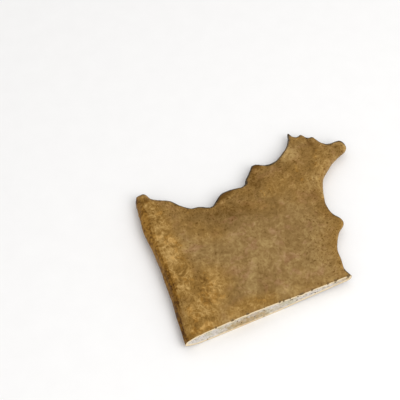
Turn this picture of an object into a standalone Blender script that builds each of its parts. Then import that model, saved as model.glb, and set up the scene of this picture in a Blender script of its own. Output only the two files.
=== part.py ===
# Fallow deer antler chew
#
# One piece out of the palm of a fallow buck's antler: a flat plate of bone with a thick rounded
# edge on the left, a gnawed and broken upper edge, and the blunt stub of a tine at the upper right.
# It was sawn off straight along its near edge, and it lies on its flatter side.
#
# +X runs along the saw cut from the thick edge to the thin one, +Y runs up the palm, and +Z is up.
# The sawn face looks towards -Y. The origin is under the middle of the piece, on the surface that
# it lies on. The shape is drawn in millimetres with its zero at the left end of the saw cut.

import math

import bmesh
import bpy
import numpy as np
from mathutils import Vector, noise
from mathutils.geometry import delaunay_2d_cdt, interpolate_bezier

MM = 0.001
SHARP = "sharp"

# Outline of the palm seen from above, clockwise from the saw cut, in millimetres. It runs past the
# cut at both ends, so that the saw takes the last of it away. A point marked SHARP is a corner.
PAST_THE_CUT = -7.0
THICK_EDGE = (
    (0.0, PAST_THE_CUT), (0.0, 3.0), (1.3, 11.0), (3.8, 25.5), (5.2, 40.0), (6.8, 56.0),
    (7.5, 70.5), (7.9, 84.0), (9.6, 94.5), (11.4, 103.5), (13.3, 110.6), (15.5, 113.3),
)
UPPER_LEFT_EDGE = (
    (18.6, 113.2), (21.8, 111.2), (22.9, 107.2), (25.2, 104.9), (30.0, 102.0), (34.6, 98.6),
    (38.4, 93.4), (41.4, 90.1), (44.6, 88.6), (50.0, 87.7), (56.2, 84.8), (60.0, 87.0),
    (65.5, 91.3), (70.5, 92.1), (76.0, 91.6), (82.0, 90.4),
)
KNOB = (
    (84.8, 91.8), (85.5, 94.4), (90.0, 98.8), (94.9, 103.8, SHARP), (98.2, 103.7),
)
BAY = (
    (102.7, 100.7), (108.7, 99.6), (115.0, 102.2), (121.6, 106.4), (126.0, 111.2),
)
SPIKE = (
    (129.0, 116.0), (130.5, 119.4, SHARP), (131.4, 117.6), (131.9, 114.2), (133.3, 111.9),
)
GNAWED_BUMPS = (
    (137.0, 113.8), (139.6, 113.3), (139.6, 108.9), (142.5, 108.9), (144.9, 107.2),
    (145.6, 104.0), (148.2, 99.6),
)
TINE_STUB = (
    (151.7, 97.9), (156.0, 97.9), (160.1, 97.1), (162.0, 93.2), (160.9, 89.2),
    (157.0, 86.8), (150.1, 85.0),
)
NOTCH = (
    (143.1, 80.8), (135.9, 75.4), (132.2, 70.6), (129.4, 64.8), (126.9, 57.0),
)
THIN_EDGE = (
    (126.2, 51.7), (127.0, 45.6), (129.6, 40.7), (129.3, 36.7), (124.0, 32.6), (120.1, 27.6),
    (116.1, 20.6), (114.4, 12.0), (113.3, 6.2), (115.0, 0.4), (115.6, PAST_THE_CUT),
)
OUTLINE = (
    THICK_EDGE + UPPER_LEFT_EDGE + KNOB + BAY + SPIKE + GNAWED_BUMPS + TINE_STUB + NOTCH + THIN_EDGE
)

# What the plate measures at places spread over it, in millimetres: x, y, height of its upper face,
# height of its lower face, and how far in from the outline its edge is rounded. Between the places
# the values blend. It lies on the thick part of the cut, the upper left lobe and the gnawed crown,
# which are worn flat where they would reach below the table.
PLACES = (
    (2, 0, 10.2, 1.8, 11.5), (20, 0, 12.8, -0.2, 9.0), (38, 0, 12.8, -0.2, 8.0), (55, 0, 13.0, -0.2, 6.0),
    (70, 0, 10.8, 0.5, 5.0), (86, 0, 9.7, 1.6, 4.0), (100, 0, 9.2, 1.9, 3.5), (112, 0, 9.2, 3.0, 3.0),
    (10, 34, 12.8, 0.4, 9.0), (34, 34, 12.4, 0.8, 8.0), (60, 34, 11.4, 1.0, 6.0),
    (88, 34, 10.0, 1.4, 4.0), (110, 30, 9.2, 2.2, 3.5), (128, 40, 8.4, 2.6, 3.0),
    (14, 70, 12.9, 0.5, 8.5), (40, 66, 11.6, 1.0, 6.0), (66, 66, 10.8, 1.2, 5.0),
    (92, 66, 10.2, 1.4, 4.0), (120, 66, 9.6, 1.6, 3.5),
    (16, 106, 11.4, -0.5, 6.0), (32, 92, 11.4, 0.6, 4.0), (50, 84, 10.6, 1.0, 3.5),
    (68, 88, 10.2, 1.0, 6.5), (82, 88, 10.0, 1.0, 3.5), (96, 98, 9.2, 1.0, 3.0),
    (112, 92, 10.0, 0.8, 3.0), (130, 110, 8.6, 0.0, 2.4), (138, 101, 9.8, -0.6, 3.5),
    (146, 88, 10.2, 0.2, 4.0), (158, 92, 10.0, 0.8, 5.5),
)
BLEND_REACH = 11.0

# Long low ridges and hollows of the upper face: start, end, how wide, how high, in millimetres.
RELIEF = (
    ((15.0, 8.0), (20.0, 96.0), 6.0, 0.5),
    ((92.0, 62.0), (152.0, 93.0), 9.0, 0.7),
    ((104.0, 60.0), (127.0, 108.0), 6.0, 0.4),
    ((62.0, 20.0), (70.0, 60.0), 5.0, 0.35),
    ((34.0, 30.0), (50.0, 70.0), 9.0, -0.6),
    ((86.0, 14.0), (104.0, 44.0), 9.0, -0.5),
    ((50.0, 80.0), (88.0, 84.0), 5.0, -0.5),
    ((98.0, 96.0), (100.0, 88.0), 5.0, -0.5),
    ((155.0, 92.6), (158.6, 92.2), 2.6, -0.8),
    ((134.0, 107.0), (139.0, 103.0), 3.0, -0.5),
)

# The bone's own unevenness: length and height of its slow lumps and of its small ones, which are
# rougher where the upper edge was gnawed. The grooves that the blood vessels left fan out from a
# point far below the cut, where the beam was, and on the thick edge they are deep furrows.
SLOW_LUMPS = (18.0, 0.4)
SMALL_LUMPS = (5.5, 0.25)
SMALL_LUMPS_SHIFT = Vector((7.0, 3.0, 1.0))
GNAWED_ROUGHNESS = 0.35
GNAWED_DEPTH = 5.0
GNAWED_FROM_Y = 80.0
FAN_CENTRE = Vector((-10.0, -133.0))
FAN_RADIUS = 180.0
GROOVE_SPACING = 4.4
GROOVE_LENGTH = 38.0
GROOVE_DEPTH = 0.4
FURROW_DEPTH = 1.0
FURROWED_WIDTH = 13.0

# Mesh: spacing of its points along the outline, along the rings inside it and over the faces, and
# the places of the rings as shares of the rounded edge's width.
OUTLINE_STEP = 2.1
RING_SHARES = (0.04, 0.16, 0.36, 0.64, 1.0)
RING_STEPS = (2.1, 2.2, 2.4, 2.7, 3.0)
FACE_STEP = 2.9
RINGS_KEPT_FROM = 0.9
POINT_GAP = 0.62
LEAST_GAP = 0.25
TRIANGLES_INSIDE_BORDER = 1
SHEET_TOLERANCE = 0.0001
CUT_TOLERANCE = 0.0001
MERGE_DISTANCE = 0.00002
SMOOTH_ANGLE = math.radians(50.0)

BONE_SKIN_COLOUR = (0.296, 0.184, 0.075, 1.0)
BONE_SKIN_ROUGHNESS = 0.55


def clear_scene():
    """Remove every object that the scene starts with."""
    for leftover in list(bpy.data.objects):
        bpy.data.objects.remove(leftover)


def outline_spline():
    """Draw the outline as a closed Bezier curve, so that Blender rounds it between its points."""
    curve = bpy.data.curves.new("outline_guide", "CURVE")
    spline = curve.splines.new("BEZIER")
    spline.bezier_points.add(len(OUTLINE) - 1)
    spline.use_cyclic_u = True
    for knot, (x, y, *corner) in zip(spline.bezier_points, OUTLINE):
        knot.co = (x, y, 0.0)
        knot.handle_left_type = "VECTOR" if corner else "AUTO"
        knot.handle_right_type = "VECTOR" if corner else "AUTO"
    guide = bpy.data.objects.new("outline_guide", curve)
    bpy.context.scene.collection.objects.link(guide)
    bpy.context.view_layer.update()
    return guide


def outline_points():
    """Read the outline off its curve, with a point at every knot and about evenly between them."""
    guide = outline_spline()
    knots = guide.data.splines[0].bezier_points
    points = []
    for start, end in zip(knots, list(knots[1:]) + [knots[0]]):
        steps = max(1, round((end.co - start.co).length / OUTLINE_STEP))
        stretch = interpolate_bezier(
            start.co, start.handle_right, end.handle_left, end.co, steps + 1
        )
        points += [point.to_2d() for point in stretch[:-1]]
    bpy.data.objects.remove(guide)
    return np.array(points)


def distance_to_outline(points, outline):
    """How far each point is from the nearest stretch of the outline."""
    start = outline[None, :, :]
    run = np.roll(outline, -1, axis=0)[None, :, :] - start
    gap = points[:, None, :] - start
    share = np.clip((gap * run).sum(2) / (run * run).sum(2), 0.0, 1.0)
    return np.linalg.norm(gap - share[:, :, None] * run, axis=2).min(axis=1)


def is_inside(points, outline):
    """Whether each point is within the outline: a line to the left crosses it an odd number of times."""
    x, y = points[:, 0:1], points[:, 1:2]
    ends = np.roll(outline, -1, axis=0)
    spans = (outline[:, 1] > y) != (ends[:, 1] > y)
    rise = np.where(ends[:, 1] == outline[:, 1], 1.0, ends[:, 1] - outline[:, 1])
    crossing = outline[:, 0] + (y - outline[:, 1]) / rise * (ends[:, 0] - outline[:, 0])
    return (spans & (x > crossing)).sum(axis=1) % 2 == 1


def plate_values(points):
    """Upper face, lower face and edge width at each point, blended from the places measured."""
    places = np.array(PLACES, dtype=float)
    gap = np.linalg.norm(points[:, None, :] - places[None, :, :2], axis=2)
    nearest = gap.min(axis=1, keepdims=True)
    weight = np.exp((nearest**2 - gap**2) / (2 * BLEND_REACH**2))
    weight /= weight.sum(axis=1, keepdims=True)
    return (weight @ places[:, 2:]).T


def relief_height(points):
    """Height that the long ridges and hollows add to the upper face at each point."""
    height = np.zeros(len(points))
    for start, end, width, rise in RELIEF:
        start, end = np.array(start), np.array(end)
        run = end - start
        share = np.clip(((points - start) @ run) / (run @ run), 0.0, 1.0)
        gap = np.linalg.norm(points - (start + share[:, None] * run), axis=1)
        height += rise * np.exp(-((gap / width) ** 2))
    return height


def ring_points(outline, share, step):
    """Points of one ring inside the outline, a share of the rounded edge's width in from it."""
    tangent = np.roll(outline, -1, axis=0) - np.roll(outline, 1, axis=0)
    inward = np.stack([tangent[:, 1], -tangent[:, 0]], axis=1)
    inward /= np.linalg.norm(inward, axis=1, keepdims=True)
    depth = share * plate_values(outline)[2]
    ring = outline + inward * depth[:, None]
    clear = distance_to_outline(ring, outline) > RINGS_KEPT_FROM * depth
    ring = ring[clear & is_inside(ring, outline)]
    kept = [ring[0]]
    for point in ring[1:]:
        if np.linalg.norm(np.array(kept) - point, axis=1).min() > POINT_GAP * step:
            kept.append(point)
    return np.array(kept)


def face_points(outline):
    """Points spread evenly over the faces, in rows of triangles."""
    low, high = outline.min(axis=0), outline.max(axis=0)
    row_height = FACE_STEP * math.sqrt(3.0) / 2.0
    rows = []
    for row in range(int((high[1] - low[1]) / row_height) + 1):
        shift = 0.5 * FACE_STEP * (row % 2)
        across = np.arange(low[0] + shift, high[0], FACE_STEP)
        rows.append(np.stack([across, np.full(len(across), low[1] + row * row_height)], axis=1))
    points = np.concatenate(rows)
    points = points[is_inside(points, outline)]
    clear = distance_to_outline(points, outline) > plate_values(points)[2] + POINT_GAP * FACE_STEP
    return points[clear]


def flat_sheet(outline):
    """Lay out the palm flat, as triangles, with rings of points along its edge."""
    kept = outline
    for share, step in zip(RING_SHARES, RING_STEPS):
        ring = ring_points(outline, share, step)
        depth = share * plate_values(ring)[2]
        room = np.linalg.norm(ring[:, None, :] - kept[None, :, :], axis=2).min(axis=1)
        needed = np.maximum(POINT_GAP * np.minimum(depth, step), LEAST_GAP)
        kept = np.concatenate([kept, ring[room > needed]])
    kept = np.concatenate([kept, face_points(outline)])
    borders = [(i, (i + 1) % len(outline)) for i in range(len(outline))]
    corners = [Vector(point) for point in kept]
    points, _, faces, *_ = delaunay_2d_cdt(corners, borders, [], TRIANGLES_INSIDE_BORDER, SHEET_TOLERANCE)
    sheet = bmesh.new()
    vertices = [sheet.verts.new((point.x * MM, point.y * MM, 0.0)) for point in points]
    for face in faces:
        sheet.faces.new([vertices[index] for index in face])
    return sheet


def round_out(vertices, outline, side):
    """Lift one copy of the sheet to the upper face, or lower it to the lower face."""
    points = np.array([vertex.co.to_2d() for vertex in vertices]) / MM
    upper, lower, edge = plate_values(points)
    middle = 0.5 * (upper + lower)
    inset = np.clip(distance_to_outline(points, outline) / edge, 0.0, 1.0)
    fullness = np.sqrt(1.0 - (1.0 - inset) ** 2)
    fullness[[vertex.is_boundary for vertex in vertices]] = 0.0
    if side > 0:
        face = upper + relief_height(points)
    else:
        face = lower
    for vertex, height in zip(vertices, middle + (face - middle) * fullness):
        vertex.co.z = height * MM


def unevenness(point, thick_share, gnawed_share):
    """How far the bone stands proud of its plain form at a point, in millimetres."""
    slow_length, slow_height = SLOW_LUMPS
    small_length, small_height = SMALL_LUMPS
    small_height += gnawed_share * GNAWED_ROUGHNESS
    height = slow_height * noise.noise(point / slow_length)
    height += small_height * noise.noise(point / small_length + SMALL_LUMPS_SHIFT)
    ray = point.to_2d() - FAN_CENTRE
    across = math.atan2(ray.x, ray.y) * FAN_RADIUS / GROOVE_SPACING
    along = Vector((across, ray.length / GROOVE_LENGTH, point.z / GROOVE_SPACING))
    depth = GROOVE_DEPTH + thick_share * (FURROW_DEPTH - GROOVE_DEPTH)
    return height + depth * noise.noise(along)


def weather(shell, outline):
    """Push the surface in and out along its own normals, and flatten what would reach the table."""
    foot, head = Vector(THICK_EDGE[1]), Vector(THICK_EDGE[-3])
    points = np.array([vertex.co for vertex in shell.verts]) / MM
    gap = distance_to_outline(points[:, :2], outline)
    gnawed = np.clip(1.0 - gap / GNAWED_DEPTH, 0.0, 1.0) * (points[:, 1] > GNAWED_FROM_Y)
    edge_x = np.interp(points[:, 1], (foot.y, head.y), (foot.x, head.x))
    thick = np.clip(1.0 - (points[:, 0] - edge_x) / FURROWED_WIDTH, 0.0, 1.0)
    shell.normal_update()
    normals = [vertex.normal.copy() for vertex in shell.verts]
    for vertex, normal, thick_share, gnawed_share in zip(shell.verts, normals, thick, gnawed):
        vertex.co += normal * unevenness(vertex.co / MM, thick_share, gnawed_share) * MM
        vertex.co.z = max(vertex.co.z, 0.0)


def saw_off(shell):
    """Cut the shell straight at y = 0 and close it with one flat face."""
    everything = shell.verts[:] + shell.edges[:] + shell.faces[:]
    cut = bmesh.ops.bisect_plane(
        shell,
        geom=everything,
        dist=CUT_TOLERANCE,
        plane_co=(0.0, 0.0, 0.0),
        plane_no=(0.0, -1.0, 0.0),
        clear_outer=True,
    )
    rim = [piece for piece in cut["geom_cut"] if isinstance(piece, bmesh.types.BMEdge)]
    for edge in rim:
        for vertex in edge.verts:
            vertex.co.y = 0.0
    bmesh.ops.contextual_create(shell, geom=rim)


def antler_shell():
    """Make the closed shell: two copies of the flat sheet, rounded out and joined at the outline."""
    outline = outline_points()
    shell = flat_sheet(outline)
    upper = list(shell.verts)
    copy = bmesh.ops.duplicate(shell, geom=shell.verts[:] + shell.edges[:] + shell.faces[:])
    lower = [piece for piece in copy["geom"] if isinstance(piece, bmesh.types.BMVert)]
    turned = [piece for piece in copy["geom"] if isinstance(piece, bmesh.types.BMFace)]
    bmesh.ops.reverse_faces(shell, faces=turned)
    round_out(upper, outline, +1)
    round_out(lower, outline, -1)
    bmesh.ops.remove_doubles(shell, verts=shell.verts[:], dist=MERGE_DISTANCE)
    weather(shell, outline)
    saw_off(shell)
    bmesh.ops.recalc_face_normals(shell, faces=shell.faces[:])
    return shell


def centre_on_its_base(shell):
    """Move the shell so that the origin is under the middle of its box."""
    places = np.array([vertex.co for vertex in shell.verts])
    low, high = places.min(axis=0), places.max(axis=0)
    middle = (low + high) / 2.0
    bmesh.ops.translate(shell, verts=shell.verts[:], vec=(-middle[0], -middle[1], -low[2]))


def bone_material():
    """Weathered bone skin: brown, dull and a little waxy from handling."""
    material = bpy.data.materials.new("antler_bone")
    material.use_nodes = True
    shader = material.node_tree.nodes["Principled BSDF"]
    shader.inputs["Base Color"].default_value = BONE_SKIN_COLOUR
    shader.inputs["Roughness"].default_value = BONE_SKIN_ROUGHNESS
    shader.inputs["Metallic"].default_value = 0.0
    return material


def antler_chew():
    """Build the one piece that the object is."""
    shell = antler_shell()
    centre_on_its_base(shell)
    mesh = bpy.data.meshes.new("antler_chew")
    shell.to_mesh(mesh)
    shell.free()
    mesh.shade_smooth()
    mesh.set_sharp_from_angle(angle=SMOOTH_ANGLE)
    mesh.materials.append(bone_material())
    piece = bpy.data.objects.new("antler_chew", mesh)
    bpy.context.scene.collection.objects.link(piece)
    return piece


clear_scene()
antler_chew()
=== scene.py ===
# %% [markdown]
# # A chew sawn from a fallow antler
# The real thing is one piece of bone: a flat palm of antler with a thick furrowed edge, a gnawed
# far edge, a blunt stub of a tine, and one straight end where the saw went through. The plain solid
# of it comes packed, at its true size. This lesson makes a finer copy of that solid, works the small
# relief into it, closes its sawn end with a face of its own, and gives skin and core their finishes.

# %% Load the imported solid
import math
import random

import bmesh
import bpy
import numpy as np
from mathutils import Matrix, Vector, kdtree, noise


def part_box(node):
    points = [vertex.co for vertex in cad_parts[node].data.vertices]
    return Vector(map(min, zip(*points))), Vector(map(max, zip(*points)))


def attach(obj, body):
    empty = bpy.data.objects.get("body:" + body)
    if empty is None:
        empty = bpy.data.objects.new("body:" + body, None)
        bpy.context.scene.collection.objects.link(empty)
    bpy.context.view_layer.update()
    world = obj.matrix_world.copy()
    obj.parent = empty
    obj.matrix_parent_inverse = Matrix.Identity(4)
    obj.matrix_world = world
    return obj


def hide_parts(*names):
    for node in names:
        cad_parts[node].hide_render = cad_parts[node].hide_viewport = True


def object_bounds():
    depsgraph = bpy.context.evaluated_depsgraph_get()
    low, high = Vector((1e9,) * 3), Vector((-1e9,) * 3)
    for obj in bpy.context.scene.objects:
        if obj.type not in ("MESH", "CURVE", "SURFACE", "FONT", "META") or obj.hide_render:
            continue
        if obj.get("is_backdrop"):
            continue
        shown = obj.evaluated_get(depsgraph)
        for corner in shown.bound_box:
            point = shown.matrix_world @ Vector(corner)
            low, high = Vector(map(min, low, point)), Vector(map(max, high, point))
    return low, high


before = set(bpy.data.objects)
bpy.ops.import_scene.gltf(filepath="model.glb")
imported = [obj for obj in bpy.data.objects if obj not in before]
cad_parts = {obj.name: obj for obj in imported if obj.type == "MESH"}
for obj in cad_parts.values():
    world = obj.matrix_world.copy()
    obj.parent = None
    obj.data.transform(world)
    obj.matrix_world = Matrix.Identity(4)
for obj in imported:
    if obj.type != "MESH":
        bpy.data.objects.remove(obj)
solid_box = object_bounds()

MM = 0.001
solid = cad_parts["antler_chew"]
solid_low, solid_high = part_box("antler_chew")
print("solid reaches", [round(value / MM, 2) for value in solid_high - solid_low], "mm")

# %% [markdown]
# ## The camera
# A camera looks at a point on the table from a distance. It could be placed by hand, but two angles
# and a distance say more: a long lens, well over half way up to overhead and a little to the left.

# %% Set up the camera
CAMERA_AZIMUTH = math.radians(-24.703)
CAMERA_ELEVATION = math.radians(55.681)
CAMERA_AIM = Vector((-26.65, 36.80, 0.0)) * MM
CAMERA_DISTANCE = 739.9 * MM
# The lens and its sensor are given in millimetres, as Blender takes them.
CAMERA_LENS = 100.0
SENSOR_WIDTH = 36.0


def direction_from(azimuth, elevation):
    """The direction in which something stands, seen from the table: azimuth 0 is on the -Y side."""
    level = math.cos(elevation)
    return Vector((math.sin(azimuth) * level, -math.cos(azimuth) * level, math.sin(elevation)))


def look_at(thing, place, aim):
    """Put a camera or a lamp at a place and turn it to face a point."""
    thing.location = place
    thing.rotation_euler = (aim - place).to_track_quat("-Z", "Y").to_euler()


lens = bpy.data.cameras.new("camera")
lens.lens = CAMERA_LENS
lens.sensor_width = SENSOR_WIDTH
camera = bpy.data.objects.new("camera", lens)
bpy.context.scene.collection.objects.link(camera)
camera_place = CAMERA_AIM + direction_from(CAMERA_AZIMUTH, CAMERA_ELEVATION) * CAMERA_DISTANCE
look_at(camera, camera_place, CAMERA_AIM)
bpy.context.scene.camera = camera
print("camera stands at", [round(value, 4) for value in camera_place])

# %% [markdown]
# ## Colours and nodes
# A maker gives colours as sRGB hex values, and a shader mixes them as linear light, so one
# function turns the first into the second. Another adds a node with its settings and its links and
# gives back one of its outputs, which keeps each material readable from top to bottom, like a recipe.
# Inputs that share a name go by their number: a Mix node takes its share at 0, two plain numbers at 2
# and 3, and two colours at 6 and 7.

# %% Helpers for colours and nodes


def colour(code):
    """Turn an sRGB hex value such as 98784C into a linear colour."""
    parts = [int(code[place:place + 2], 16) / 255.0 for place in (0, 2, 4)]
    linear = [part / 12.92 if part <= 0.04045 else ((part + 0.055) / 1.055) ** 2.4 for part in parts]
    return (*linear, 1.0)


def add(tree, kind, inputs, output=0, **settings):
    """Add a node, set it up, fill its inputs with numbers, colours or links, and return an output."""
    made = tree.nodes.new(kind)
    for name, value in settings.items():
        setattr(made, name, value)
    for name, value in inputs.items():
        if isinstance(value, bpy.types.NodeSocket):
            tree.links.new(value, made.inputs[name])
        else:
            made.inputs[name].default_value = value
    return made.outputs[output]


def new_material(name):
    """Start a material and return it with its node tree and its Principled shader."""
    material = bpy.data.materials.new(name)
    material.use_nodes = True
    return material, material.node_tree, material.node_tree.nodes["Principled BSDF"]


print("the grey 808080 as linear light:", round(colour("808080")[0], 3))

# %% [markdown]
# ## The table
# The table is a sheet of matt white card, larger than any view of the piece. It could be a square plane,
# but a circle has its edge equally far away on all sides. The fibres of card are too fine to show, so
# they are drawn as clouds in its white, a finger's width across. The card lies a hair below the bone, so
# that no two faces share a plane.

# %% Lay the table
TABLE_REACH = 6.0
TABLE_SIDES = 64
TABLE_DROP = 0.05 * MM
CARD_WHITES = ("F1F0EF", "F5F4F3")
CARD_CLOUD = 13.3 * MM
CARD_ROUGHNESS = 0.85
# How many finer noises a noise carries, where its own table doesn't say.
NOISE_DETAIL = 2.0

card, tree, shader = new_material("white_card")
card_place = add(tree, "ShaderNodeTexCoord", {}, output="Object")
cloudy = {"Vector": card_place, "Scale": 1.0 / CARD_CLOUD, "Detail": NOISE_DETAIL}
clouds = add(tree, "ShaderNodeTexNoise", cloudy)
dull, bright = [colour(code) for code in CARD_WHITES]
card_white = add(tree, "ShaderNodeMix", {0: clouds, 6: dull, 7: bright}, output=2, data_type="RGBA")
tree.links.new(card_white, shader.inputs["Base Color"])
shader.inputs["Roughness"].default_value = CARD_ROUGHNESS

sheet = bmesh.new()
bmesh.ops.create_circle(sheet, cap_ends=True, radius=TABLE_REACH, segments=TABLE_SIDES)
bmesh.ops.translate(sheet, verts=sheet.verts[:], vec=(0.0, 0.0, -TABLE_DROP))
table_mesh = bpy.data.meshes.new("table")
sheet.to_mesh(table_mesh)
sheet.free()
table_mesh.materials.append(card)
table = bpy.data.objects.new("table", table_mesh)
bpy.context.scene.collection.objects.link(table)
table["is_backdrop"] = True
print("table reaches", TABLE_REACH, "m each way")

# %% [markdown]
# ## The light
# The light is that of a small studio: a pale room all round, and one wide soft lamp high up in front and
# to the right, which lights the sawn end and leaves the thick edge on the left in shade. A second, weaker
# lamp from behind keeps the far side readable. Both are square and face the middle of the piece. The
# Standard view shows colours as they were picked, without a film's curve.

# %% Light the room and hang the lamps
ROOM_WHITE = "FFFFFF"
ROOM_LIGHT = 0.68
# A lamp's name, azimuth and elevation in degrees, distance and size in metres, and power in watts.
LAMPS = (
    ("key", 20.0, 50.0, 1.1, 0.8, 6.6),
    ("fill", 160.0, 60.0, 1.4, 0.9, 2.2),
)

room = bpy.data.worlds.new("room")
room.use_nodes = True
background = room.node_tree.nodes["Background"]
background.inputs["Color"].default_value = colour(ROOM_WHITE)
background.inputs["Strength"].default_value = ROOM_LIGHT
bpy.context.scene.world = room
for name, azimuth, elevation, distance, size, power in LAMPS:
    lamp = bpy.data.lights.new(name, "AREA")
    lamp.size = size
    lamp.energy = power
    holder = bpy.data.objects.new(name, lamp)
    bpy.context.scene.collection.objects.link(holder)
    lamp_place = direction_from(math.radians(azimuth), math.radians(elevation)) * distance
    look_at(holder, lamp_place, Vector())
bpy.context.scene.view_settings.view_transform = "Standard"
print("lamps:", ", ".join(name for name, *_ in LAMPS))

# %% [markdown]
# ## A copy without its sawn face
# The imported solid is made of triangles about 2 mm across, too coarse for bone. A finer one could be
# sculpted by hand, but rules that follow the way the bone grew are quicker to change. The copy is merged
# first, because it comes as loose triangles. Its sawn face is taken off, so that the skin can be
# smoothed without rounding the saw's edge, and pairs of triangles are joined to quads, which smooth
# more evenly.

# %% Copy the solid and take off its sawn face
MERGE_DISTANCE = 0.002 * MM
CUT_TOLERANCE = 0.01 * MM
# Two triangles stay apart where they fold more than the first angle or are skewed more than the second.
QUAD_FOLD = math.radians(35.0)
QUAD_SKEW = math.radians(55.0)

cut_y = solid_low.y
cut_start = np.array(solid_low.xy)


def on_cut(vertex):
    """Whether a vertex lies in the plane that the saw went through."""
    return abs(vertex.co.y - cut_y) < CUT_TOLERANCE


coarse = bmesh.new()
coarse.from_mesh(solid.data)
bmesh.ops.remove_doubles(coarse, verts=coarse.verts[:], dist=MERGE_DISTANCE)
sawn = [face for face in coarse.faces if all(on_cut(vertex) for vertex in face.verts)]
bmesh.ops.delete(coarse, geom=sawn, context="FACES")
bmesh.ops.join_triangles(
    coarse,
    faces=coarse.faces[:],
    angle_face_threshold=QUAD_FOLD,
    angle_shape_threshold=QUAD_SKEW,
)
coarse_mesh = bpy.data.meshes.new("coarse_skin")
coarse.to_mesh(coarse_mesh)
coarse.free()
print("coarse skin:", len(coarse_mesh.polygons), "faces")

# %% [markdown]
# ## A finer skin
# A Subdivision Surface modifier rounds the coarse skin off and makes it four times finer each way. What
# it makes is read back into a bmesh, and the open rim is set exactly in the plane of the saw.

# %% Refine the skin
SKIN_LEVELS = 2

coarse_skin = bpy.data.objects.new("coarse_skin", coarse_mesh)
bpy.context.scene.collection.objects.link(coarse_skin)
finer = coarse_skin.modifiers.new("finer", "SUBSURF")
finer.levels = SKIN_LEVELS
finer.render_levels = SKIN_LEVELS
finished = coarse_skin.evaluated_get(bpy.context.evaluated_depsgraph_get())
bone = bmesh.new()
bone.from_mesh(finished.to_mesh())
bpy.data.objects.remove(coarse_skin)
bone.verts.ensure_lookup_table()
for vertex in bone.verts:
    if vertex.is_boundary:
        vertex.co.y = cut_y
bone.normal_update()
print("skin:", len(bone.verts), "vertices,", len(bone.faces), "faces")

# %% [markdown]
# ## Where things are on the bone
# Three measures steer everything that follows. The first is a place on the palm in millimetres from
# the left end of the saw cut. The second follows the growth of the bone: its blood vessels fanned out
# from the beam, far below the cut, so one number runs along them and one across. The third is how
# far in from the rim of the palm a point is, seen from above, and which way that rim faces. The rim is
# the line where the upper face turns over into the lower one.

# %% Measure places, growth lines and distance to the rim
# Where the vessels fan out from, and how far from there a step across is true to size, in millimetres.
FAN_CENTRE = np.array((-10.0, -133.0))
FAN_RADIUS = 180.0


def places_in_mm(points):
    """Where points are on the palm, from the left end of the saw cut."""
    return (points[:, :2] - cut_start) / MM


def growth_lines(points):
    """How far points are across and along the growth of the bone, and how high, in millimetres."""
    ray = places_in_mm(points) - FAN_CENTRE
    across = np.arctan2(ray[:, 0], ray[:, 1]) * FAN_RADIUS
    return np.stack([across, np.linalg.norm(ray, axis=1), points[:, 2] / MM], axis=1)


def turning_line(shell):
    """The vertices where the upper face turns over into the lower one, in the order of their indices."""
    line = set()
    for edge in shell.edges:
        if len(edge.link_faces) == 2:
            first, second = edge.link_faces
            if (first.normal.z > 0.0) != (second.normal.z > 0.0):
                line.update(edge.verts)
    return sorted(line, key=lambda vertex: vertex.index)


def seen_from_above(vertex):
    """The vertex's place as a plan shows it, without its height."""
    return vertex.co.to_2d().to_3d()


points = np.array([vertex.co for vertex in bone.verts])
normals = np.array([vertex.normal for vertex in bone.verts])
rim_line = turning_line(bone)
rim_tree = kdtree.KDTree(len(rim_line))
for vertex in rim_line:
    rim_tree.insert(seen_from_above(vertex), vertex.index)
rim_tree.balance()
nearest = [rim_tree.find(seen_from_above(vertex)) for vertex in bone.verts]
edge_gap = np.array([gap for _, _, gap in nearest]) / MM
rim_normals = normals[[index for _, index, _ in nearest]]
growth = growth_lines(points)
place = places_in_mm(points)
print("rim:", len(rim_line), "vertices; deepest point", round(edge_gap.max(), 1), "mm in from it")

# %% [markdown]
# ## Small relief
# Antler bone is smooth to the hand but never flat: shallow vessel grooves run along it, a fine
# pebbling lies between them, and tiny holes show where vessels went in. The thick edge is furrowed
# like bark, and a dog's teeth have roughened the far edge. Each of these is a noise with a size and
# a depth in millimetres, and all of them push the skin along its own normals.

# %% Work the relief into the skin
# Sizes, depths and heights are in millimetres.
GROOVE_ACROSS = 2.6
GROOVE_ALONG = 15.0
GROOVE_UP = 5.2
GROOVE_DEPTH = 0.06
GROOVE_STEEPNESS = 2.0
PEBBLE_SIZE = 3.4
PEBBLE_HEIGHT = 0.05
FINE_PEBBLE_SIZE = 1.5
FINE_PEBBLE_HEIGHT = 0.03
FURROW_ACROSS = 1.7
FURROW_ALONG = 14.0
FURROW_DEPTH = 0.42
GNAWED_FROM = 78.0
GNAWED_REACH = 4.5
GNAWED_SIZE = 2.1
GNAWED_DEPTH = 0.28
FURROWS_FADE_OVER = 4.0
# A second noise is read this far away from the first, so that it doesn't repeat it.
OTHER_PLACE = 40.0


def noise_over(samples):
    """Blender's own noise at each row of an array, from about -1 to 1."""
    return np.array([noise.noise(sample) for sample in samples])


# The shoulder is where the furrowed side ends: how far from the cut, and how far from its left end.
SHOULDER_Y = (0.0, 7.1, 21.4, 34.8, 49.8, 65.2, 77.5, 86.9, 96.0, 104.0, 113.0)
SHOULDER_X = (3.2, 3.6, 5.4, 9.8, 11.8, 11.6, 13.7, 15.6, 15.0, 14.5, 15.5)

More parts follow.
